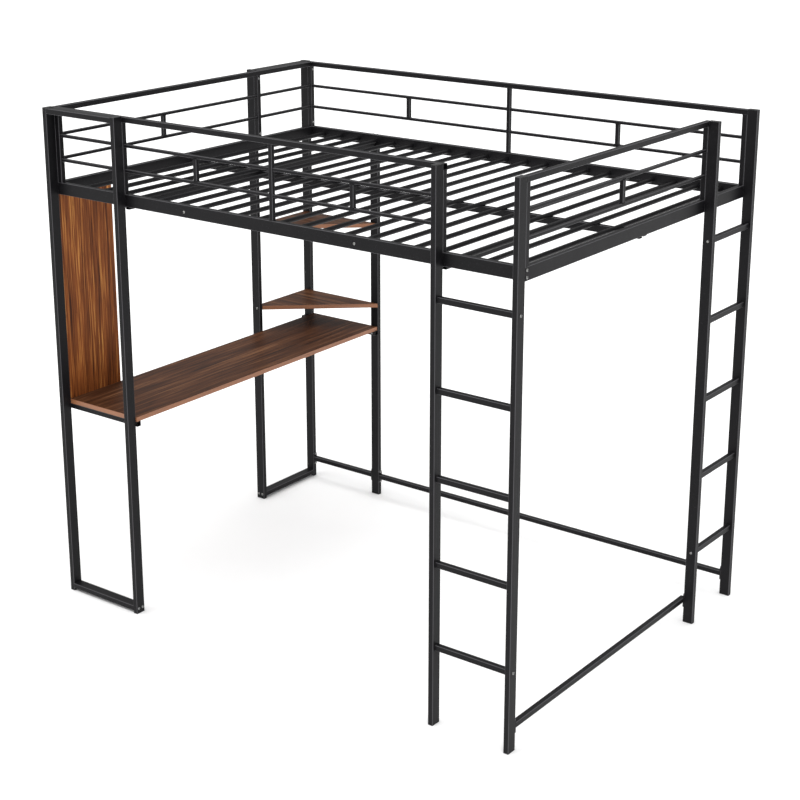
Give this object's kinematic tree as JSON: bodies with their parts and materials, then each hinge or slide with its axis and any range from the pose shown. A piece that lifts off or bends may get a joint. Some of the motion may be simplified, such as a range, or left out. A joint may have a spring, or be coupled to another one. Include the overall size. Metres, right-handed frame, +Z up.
{
  "type": "loft bed with desk",
  "caption": "Black metal loft bed for a full mattress, with a walnut desk and corner shelves under its left end and a ladder on its front and on its right side.",
  "frame": {"origin": "on the floor under the middle of the bed's outline", "axes": "+Z up, +X along the bed's length from the desk end to the front ladder's end, +Y from the front side to the back"},
  "size_m": [2.04, 1.451, 1.821],
  "materials": {
    "powder_coated_steel": "black powder coat with a fine texture",
    "walnut_board": "walnut-print laminate on particle board",
    "edge_banding": "lighter walnut-print edge banding",
    "black_plastic": "moulded black polyethylene",
    "zinc_plated_steel": "bright zinc plate"
  },
  "bodies": {
    "root": {"post_front_left": "powder_coated_steel", "post_front_desk": "powder_coated_steel", "post_front_ladder": "powder_coated_steel", "post_front_right": "powder_coated_steel", "post_right_ladder": "powder_coated_steel", "post_back_right": "powder_coated_steel", "post_left_shelf": "powder_coated_steel", "post_back_left": "powder_coated_steel", "post_back_desk": "powder_coated_steel", "front_leg_top_rail": "powder_coated_steel", "front_leg_bottom_bar": "powder_coated_steel", "left_leg_top_rail": "powder_coated_steel", "left_leg_bottom_bar": "powder_coated_steel", "bed_rail_front": "powder_coated_steel", "bed_rail_back": "powder_coated_steel", "bed_rail_left": "powder_coated_steel", "bed_rail_right": "powder_coated_steel", "centre_rail_left": "powder_coated_steel", "centre_rail_middle": "powder_coated_steel", "centre_rail_right": "powder_coated_steel", "cross_beam_left": "powder_coated_steel", "cross_beam_right": "powder_coated_steel", "beam_tabs": "powder_coated_steel", "crossing_plates": "powder_coated_steel", "slats": "powder_coated_steel", "front_guard_top_rail": "powder_coated_steel", "front_guard_uprights": "powder_coated_steel", "front_guard_bars": "powder_coated_steel", "back_guard_top_rail": "powder_coated_steel", "back_guard_uprights": "powder_coated_steel", "back_guard_bars": "powder_coated_steel", "left_guard_top_rail": "powder_coated_steel", "left_guard_uprights": "powder_coated_steel", "left_guard_bars": "powder_coated_steel", "right_guard_top_rail": "powder_coated_steel", "right_guard_uprights": "powder_coated_steel", "right_guard_bars": "powder_coated_steel", "front_ladder_rungs": "powder_coated_steel", "right_ladder_rungs": "powder_coated_steel", "floor_rail_back_left": "powder_coated_steel", "floor_rail_back_right": "powder_coated_steel", "floor_rail_right": "powder_coated_steel", "floor_rail_flanges": "powder_coated_steel", "desk_top": "walnut_board", "desk_bar_front": "powder_coated_steel", "desk_bar_back": "powder_coated_steel", "side_panel": "walnut_board", "shelf_lower": "walnut_board", "shelf_upper": "walnut_board", "edge_bands": "edge_banding", "post_top_caps": "black_plastic", "post_foot_caps": "black_plastic", "tube_pegs": "powder_coated_steel", "end_plugs": "zinc_plated_steel", "weld_nuts": "zinc_plated_steel", "board_inserts": "zinc_plated_steel", "frame_bolts": "zinc_plated_steel", "guard_bolts": "zinc_plated_steel", "ladder_bolts": "zinc_plated_steel", "board_bolts": "zinc_plated_steel"}
  },
  "joints": []
}
